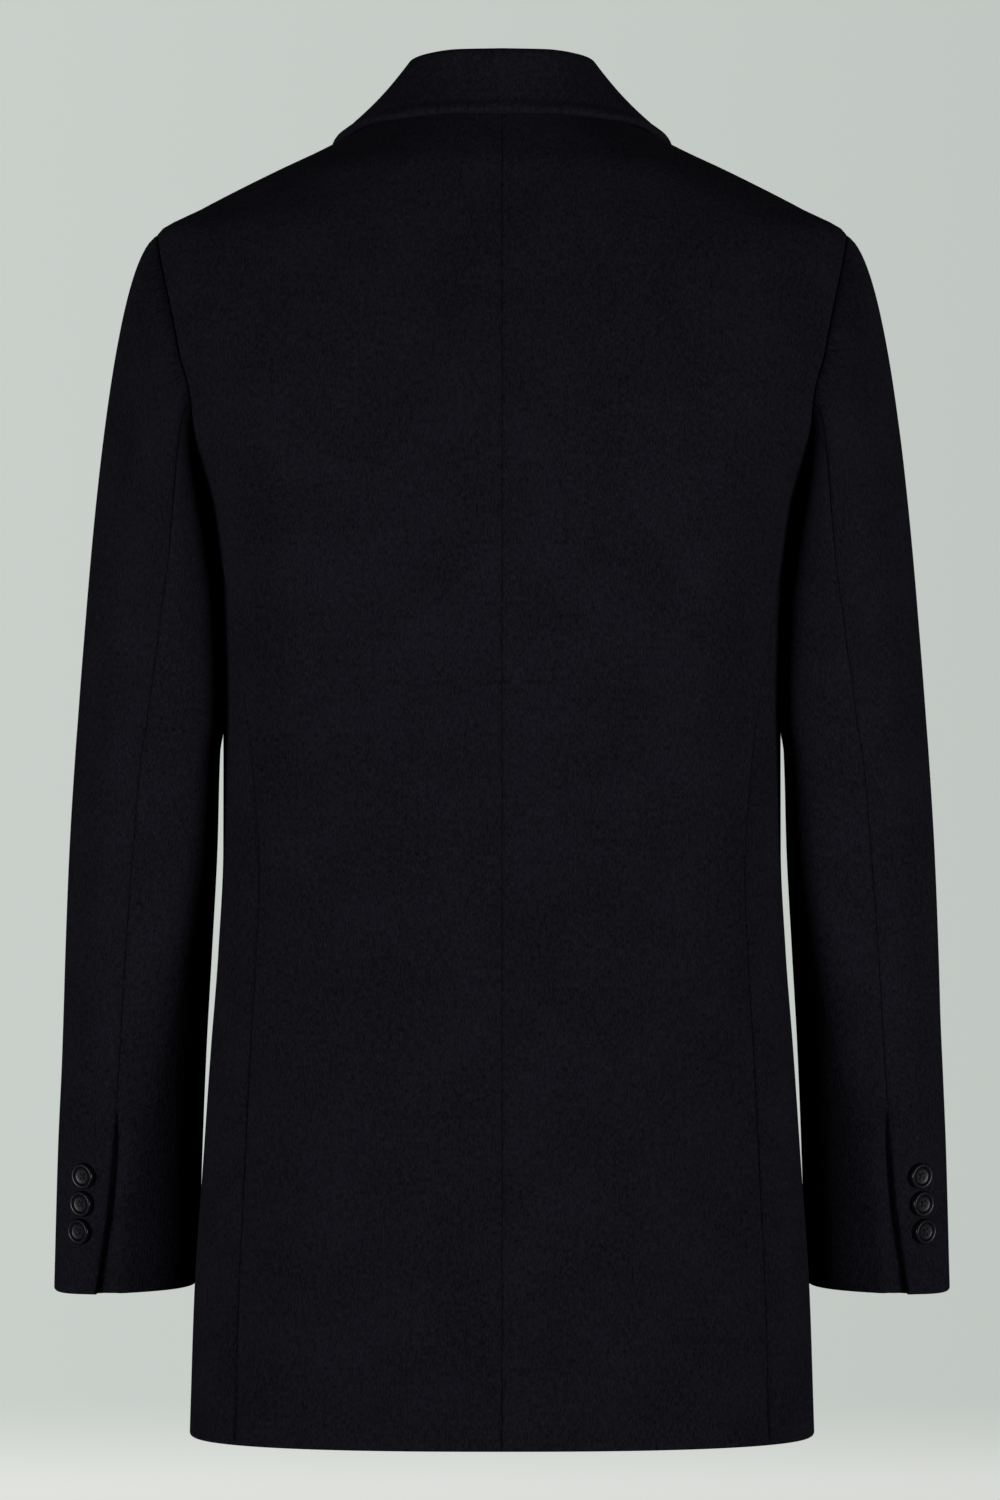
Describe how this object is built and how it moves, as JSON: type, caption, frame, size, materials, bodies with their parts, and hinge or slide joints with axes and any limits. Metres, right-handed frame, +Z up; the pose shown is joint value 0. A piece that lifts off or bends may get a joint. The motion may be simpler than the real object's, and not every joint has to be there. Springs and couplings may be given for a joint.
{
  "type": "winter coat, a men's short wool overcoat, filled out as worn",
  "caption": "Short tailored wool overcoat with notched lapels, turned-down collar, long two-piece sleeves with vented cuffs, and open neck, hem and cuffs.",
  "frame": {"origin": "the middle of the neck opening, level with the points where the shoulder seams meet the neck, where the wearer's neck and shoulders hold the coat", "axes": "+Z up, the front faces -Y, +X towards the wearer's left"},
  "size_m": [0.5872, 0.282, 0.8951],
  "materials": {
    "wool": "milled wool overcoating with a short raised nap",
    "button": "polished dark horn-effect resin"
  },
  "bodies": {
    "root": {"back_left": "wool", "back_right": "wool", "front_left": "wool", "front_right": "wool", "lapel_left": "wool", "lapel_right": "wool", "collar": "wool", "sleeve_upper_left": "wool", "sleeve_upper_right": "wool", "sleeve_under_left": "wool", "sleeve_under_right": "wool", "cuff_button_left_1": "button", "cuff_button_left_2": "button", "cuff_button_left_3": "button", "cuff_button_right_1": "button", "cuff_button_right_2": "button", "cuff_button_right_3": "button", "front_button_1": "button", "front_button_2": "button", "front_button_3": "button"}
  },
  "joints": []
}
